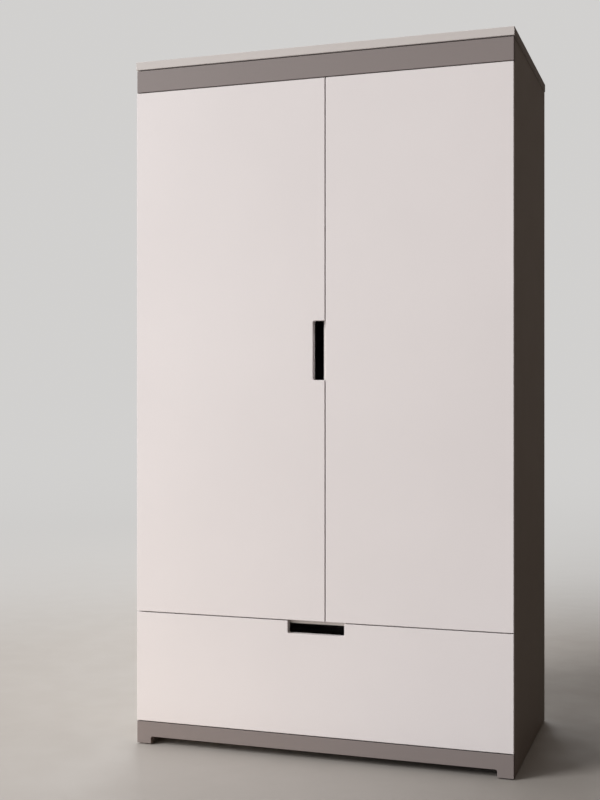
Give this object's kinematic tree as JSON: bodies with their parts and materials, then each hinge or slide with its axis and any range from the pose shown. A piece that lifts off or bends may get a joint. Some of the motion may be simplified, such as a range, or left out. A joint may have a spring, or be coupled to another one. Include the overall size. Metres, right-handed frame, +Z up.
{
  "type": "wardrobe with doors",
  "caption": "Tall wardrobe with hinged doors over a full-width drawer, finger notches, a fascia strip and a low plinth with corner feet.",
  "frame": {"origin": "on the floor, at the middle of the overall width and depth", "axes": "+X to the right seen from the front, +Y from front to back, +Z up"},
  "size_m": [1.054, 0.607, 1.905],
  "materials": {
    "white_laminate": "satin melamine",
    "grey_laminate": "satin melamine",
    "side_laminate": "satin melamine",
    "inner_laminate": "matt melamine",
    "hardboard": "painted hardboard",
    "white_plastic": "moulded",
    "soft_pad": "translucent pad",
    "beech": "raw",
    "rail_chrome": "polished",
    "zinc_steel": "zinc plated"
  },
  "bodies": {
    "carcass": {"left_side_panel": "side_laminate", "right_side_panel": "side_laminate", "top_panel": "white_laminate", "top_fascia": "grey_laminate", "bottom_panel": "inner_laminate", "compartment_floor": "inner_laminate", "centre_partition": "inner_laminate", "front_plinth": "grey_laminate", "rear_plinth_rail": "inner_laminate", "left_back_panel": "hardboard", "right_back_panel": "hardboard", "back_joint_strip": "white_plastic", "hat_shelf": "inner_laminate", "shelf_1": "inner_laminate", "shelf_2": "inner_laminate", "shelf_3": "inner_laminate", "shelf_4": "inner_laminate", "shelf_pins": "zinc_steel", "clothes_rail": "rail_chrome", "rail_brackets": "rail_chrome", "rail_bracket_screws": "zinc_steel", "floor_glides": "white_plastic", "cam_locks": "zinc_steel", "cam_bolts": "zinc_steel", "wood_dowels": "beech", "wall_brackets": "zinc_steel", "wall_bracket_screws": "zinc_steel", "left_mounting_plates": "zinc_steel", "right_mounting_plates": "zinc_steel", "left_hinge_arms": "zinc_steel", "right_hinge_arms": "zinc_steel", "hinge_plate_screws": "zinc_steel", "left_cabinet_rail": "zinc_steel", "right_cabinet_rail": "zinc_steel", "cabinet_rail_screws": "zinc_steel"},
    "left_door_leaf": {"left_door": "white_laminate", "left_hinge_cups": "zinc_steel", "left_cup_screws": "zinc_steel", "left_door_bumpers": "soft_pad"},
    "right_door_leaf": {"right_door": "white_laminate", "right_hinge_cups": "zinc_steel", "right_cup_screws": "zinc_steel", "right_door_bumpers": "soft_pad"},
    "left_links": {"left_hinge_links": "zinc_steel"},
    "right_links": {"right_hinge_links": "zinc_steel"},
    "drawer": {"drawer_front": "white_laminate", "left_drawer_side": "inner_laminate", "right_drawer_side": "inner_laminate", "drawer_back": "inner_laminate", "drawer_bottom": "hardboard", "drawer_brace": "hardboard", "drawer_fixings": "zinc_steel", "drawer_bumpers": "soft_pad", "left_drawer_rail": "zinc_steel", "right_drawer_rail": "zinc_steel", "drawer_rail_screws": "zinc_steel"},
    "middle_rails": {"left_middle_rail": "zinc_steel", "right_middle_rail": "zinc_steel"},
    "outer_cages": {"outer_ball_cages": "zinc_steel"},
    "inner_cages": {"inner_ball_cages": "zinc_steel"}
  },
  "joints": [
    {"name": "left_door_hinge", "type": "hinge", "parent": "carcass", "child": "left_door_leaf", "pos_m": [-0.5199, -0.2964, 1.1], "axis": [0, 0, -1], "range_deg": [0, 105]},
    {"name": "right_door_hinge", "type": "hinge", "parent": "carcass", "child": "right_door_leaf", "pos_m": [0.5199, -0.2964, 1.1], "axis": [0, 0, 1], "range_deg": [0, 105]},
    {"name": "left_link_pivot", "type": "hinge", "parent": "carcass", "child": "left_links", "pos_m": [-0.4876, -0.2799, 1.1], "axis": [0, 0, -1], "range_deg": [-21, 0]},
    {"name": "right_link_pivot", "type": "hinge", "parent": "carcass", "child": "right_links", "pos_m": [0.4876, -0.2799, 1.1], "axis": [0, 0, 1], "range_deg": [-21, 0]},
    {"name": "drawer_slide", "type": "slide", "parent": "carcass", "child": "drawer", "axis": [0, -1, 0], "range_m": [0, 0.45]},
    {"name": "middle_rail_slide", "type": "slide", "parent": "carcass", "child": "middle_rails", "axis": [0, -1, 0], "range_m": [0, 0.226]},
    {"name": "outer_cage_slide", "type": "slide", "parent": "carcass", "child": "outer_cages", "axis": [0, -1, 0], "range_m": [0, 0.113]},
    {"name": "inner_cage_slide", "type": "slide", "parent": "carcass", "child": "inner_cages", "axis": [0, -1, 0], "range_m": [0, 0.338]}
  ],
  "couplings": [
    {"joint": "left_link_pivot", "follows": "left_door_hinge", "ratio": -0.198},
    {"joint": "right_link_pivot", "follows": "right_door_hinge", "ratio": -0.198},
    {"joint": "middle_rail_slide", "follows": "drawer_slide", "ratio": 0.5},
    {"joint": "outer_cage_slide", "follows": "drawer_slide", "ratio": 0.25},
    {"joint": "inner_cage_slide", "follows": "drawer_slide", "ratio": 0.75}
  ]
}
